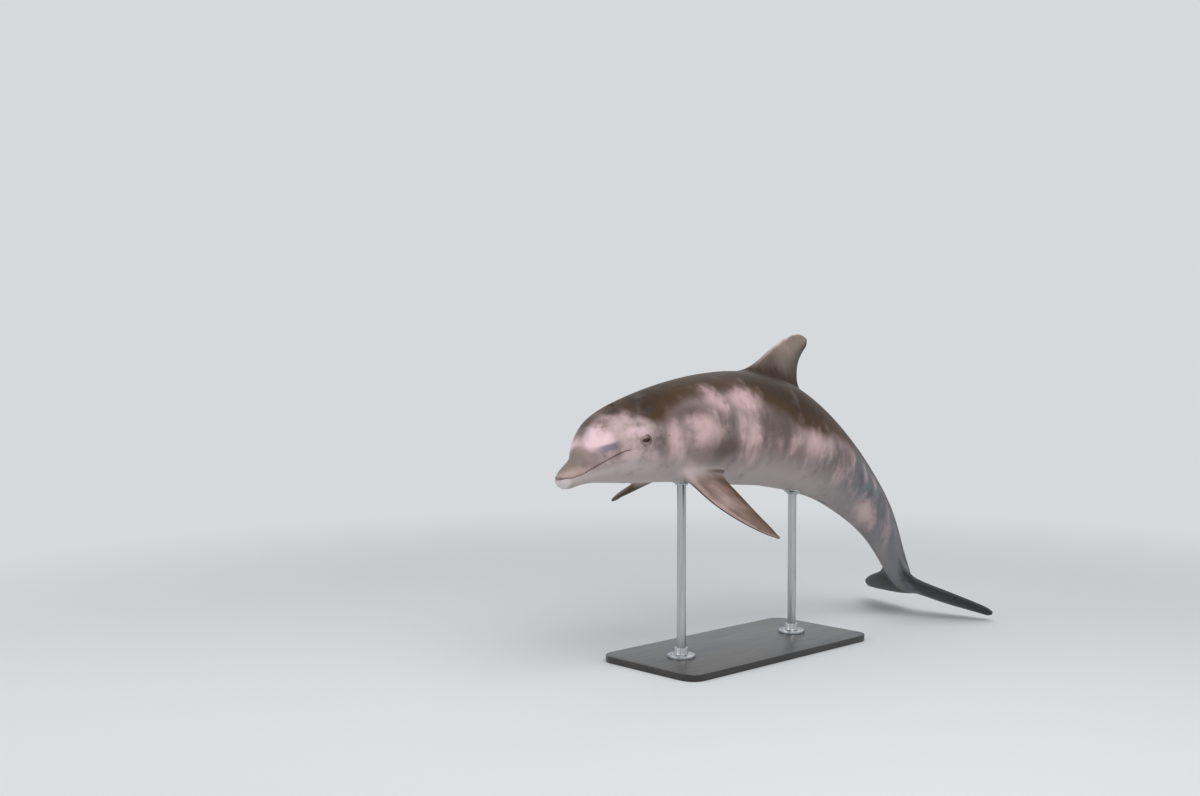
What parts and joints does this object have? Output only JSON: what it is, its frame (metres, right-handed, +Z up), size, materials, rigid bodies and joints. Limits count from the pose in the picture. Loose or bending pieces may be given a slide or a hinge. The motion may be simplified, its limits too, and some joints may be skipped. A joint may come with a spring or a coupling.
{
  "type": "bottlenose dolphin model",
  "caption": "Life-size still model of a bottlenose dolphin swimming with its back arched and its tail swung down, held above a flat display base by slim upright rods.",
  "frame": {"origin": "middle of the underside of the whole model's box, on the floor", "axes": "+Z up, +X towards the dolphin's nose, +Y towards its left side"},
  "size_m": [2.0926, 0.8176, 1.1748],
  "materials": {
    "skin": "smooth, wet-looking skin: brown-grey cape, pinkish grey flanks, pale belly",
    "eye": "wet, dark, clear-coated",
    "stand_board": "black-stained board with a satin lacquer",
    "stand_steel": "brushed along the rod"
  },
  "bodies": {
    "root": {"head": "skin", "lower_jaw": "skin", "eye_left": "eye", "eye_right": "eye", "neck": "skin", "trunk": "skin", "tail_stock": "skin", "dorsal_fin": "skin", "flipper_left": "skin", "flipper_right": "skin", "fluke_left": "skin", "fluke_right": "skin", "stand_base": "stand_board", "stand_flange_front": "stand_steel", "stand_flange_rear": "stand_steel", "stand_rod_front": "stand_steel", "stand_rod_rear": "stand_steel"}
  },
  "joints": []
}
